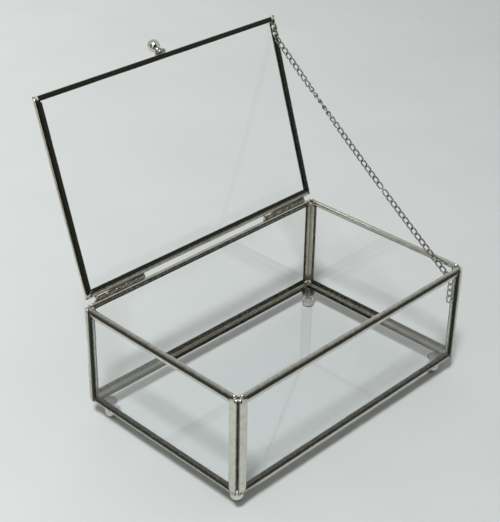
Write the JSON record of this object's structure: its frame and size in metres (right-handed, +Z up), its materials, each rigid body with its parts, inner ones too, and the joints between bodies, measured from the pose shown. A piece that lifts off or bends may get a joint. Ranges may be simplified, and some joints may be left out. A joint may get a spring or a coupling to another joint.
{
  "type": "glass casket box",
  "caption": "Clear glass keepsake casket of metal-edged soldered panes, with turned feet, a knob, and a hinged lid held open by a stay chain.",
  "frame": {"origin": "midway between the four feet, on the plane that the box stands on", "axes": "+X to the right, +Y to the back, towards the hinges, and +Z up"},
  "size_m": [0.2, 0.1786, 0.2077],
  "materials": {
    "glass": "clear, faintly green at the edges",
    "channel": "soft silver metal, a little dulled",
    "solder": "bright rounded drops",
    "chain": "satin grey wire",
    "turned_metal": "turned and polished, slightly dulled",
    "hinge_metal": "satin"
  },
  "bodies": {
    "box": {"glass_front": "glass", "glass_back": "glass", "glass_left": "glass", "glass_right": "glass", "glass_bottom": "glass", "channel_front_bottom": "channel", "channel_front_top": "channel", "channel_front_left": "channel", "channel_front_right": "channel", "channel_back_bottom": "channel", "channel_back_top": "channel", "channel_back_left": "channel", "channel_back_right": "channel", "channel_left_bottom": "channel", "channel_left_top": "channel", "channel_left_front": "channel", "channel_left_back": "channel", "channel_right_bottom": "channel", "channel_right_top": "channel", "channel_right_front": "channel", "channel_right_back": "channel", "channel_base_front": "channel", "channel_base_back": "channel", "channel_base_left": "channel", "channel_base_right": "channel", "solder_front_left": "solder", "solder_front_right": "solder", "solder_back_left": "solder", "solder_back_right": "solder", "foot_front_left": "turned_metal", "foot_front_right": "turned_metal", "foot_back_left": "turned_metal", "foot_back_right": "turned_metal", "hinge_left_box_leaf": "hinge_metal", "hinge_right_box_leaf": "hinge_metal", "hinge_left_pin": "hinge_metal", "hinge_right_pin": "hinge_metal", "chain_box_end": "chain", "solder_chain_box": "solder"},
    "lid": {"glass_lid": "glass", "channel_lid_front": "channel", "channel_lid_back": "channel", "channel_lid_left": "channel", "channel_lid_right": "channel", "hinge_left_lid_leaf": "hinge_metal", "hinge_right_lid_leaf": "hinge_metal", "knob": "turned_metal", "chain_lid_end": "chain", "solder_chain_lid": "solder"},
    "chain_1": {"chain_1": "chain"},
    "chain_2": {"chain_2": "chain"},
    "chain_3": {"chain_3": "chain"},
    "chain_4": {"chain_4": "chain"},
    "chain_5": {"chain_5": "chain"},
    "chain_6": {"chain_6": "chain"},
    "chain_7": {"chain_7": "chain"},
    "chain_8": {"chain_8": "chain"},
    "chain_9": {"chain_9": "chain"},
    "chain_10": {"chain_10": "chain"},
    "chain_11": {"chain_11": "chain"}
  },
  "joints": [
    {"name": "lid_hinge", "type": "hinge", "parent": "box", "child": "lid", "pos_m": [0, 0.0637, 0.0819], "axis": [1, 0, 0], "range_deg": [0, 108]},
    {"name": "chain_1_hinge", "type": "hinge", "parent": "box", "child": "chain_1", "pos_m": [0.094, -0.0591, 0.0716], "axis": [1, 0, 0], "range_deg": [-57.2, 0]},
    {"name": "chain_2_hinge", "type": "hinge", "parent": "chain_1", "child": "chain_2", "pos_m": [0.094, -0.04481, 0.08158], "axis": [1, 0, 0], "range_deg": [-49.8, 0]},
    {"name": "chain_3_hinge", "type": "hinge", "parent": "chain_2", "child": "chain_3", "pos_m": [0.094, -0.0306, 0.09168], "axis": [1, 0, 0], "range_deg": [0, 52]},
    {"name": "chain_4_hinge", "type": "hinge", "parent": "chain_3", "child": "chain_4", "pos_m": [0.094, -0.01646, 0.10189], "axis": [1, 0, 0], "range_deg": [0, 53.1]},
    {"name": "chain_11_hinge", "type": "hinge", "parent": "lid", "child": "chain_11", "pos_m": [0.094, 0.09535, 0.18885], "axis": [1, 0, 0], "range_deg": [-21.4, 0]},
    {"name": "chain_10_hinge", "type": "hinge", "parent": "chain_11", "child": "chain_10", "pos_m": [0.094, 0.08188, 0.1778], "axis": [1, 0, 0], "range_deg": [-4.9, 0]},
    {"name": "chain_9_hinge", "type": "hinge", "parent": "chain_10", "child": "chain_9", "pos_m": [0.094, 0.06832, 0.16683], "axis": [1, 0, 0], "range_deg": [0, 87.4]},
    {"name": "chain_8_hinge", "type": "hinge", "parent": "chain_9", "child": "chain_8", "pos_m": [0.094, 0.05468, 0.15596], "axis": [1, 0, 0], "range_deg": [0, 112.9]},
    {"name": "chain_7_hinge", "type": "hinge", "parent": "chain_8", "child": "chain_7", "pos_m": [0.094, 0.04097, 0.14519], "axis": [1, 0, 0], "range_deg": [-112, 0]},
    {"name": "chain_6_hinge", "type": "hinge", "parent": "chain_7", "child": "chain_6", "pos_m": [0.094, 0.02717, 0.13453], "axis": [1, 0, 0], "range_deg": [-56.7, 0]},
    {"name": "chain_5_hinge", "type": "hinge", "parent": "chain_6", "child": "chain_5", "pos_m": [0.094, 0.01329, 0.12397], "axis": [1, 0, 0], "range_deg": [-91.3, 0]}
  ],
  "couplings": [
    {"joint": "chain_1_hinge", "follows": "lid_hinge", "ratio": -0.52745},
    {"joint": "chain_2_hinge", "follows": "lid_hinge", "ratio": -0.45838},
    {"joint": "chain_3_hinge", "follows": "lid_hinge", "ratio": 0.47919},
    {"joint": "chain_4_hinge", "follows": "lid_hinge", "ratio": 0.48929},
    {"joint": "chain_11_hinge", "follows": "lid_hinge", "ratio": -0.19567},
    {"joint": "chain_10_hinge", "follows": "lid_hinge", "ratio": -0.04271},
    {"joint": "chain_9_hinge", "follows": "lid_hinge", "ratio": 0.80701},
    {"joint": "chain_8_hinge", "follows": "lid_hinge", "ratio": 1.0429},
    {"joint": "chain_7_hinge", "follows": "lid_hinge", "ratio": -1.0351},
    {"joint": "chain_6_hinge", "follows": "lid_hinge", "ratio": -0.5229},
    {"joint": "chain_5_hinge", "follows": "lid_hinge", "ratio": -0.84319}
  ]
}
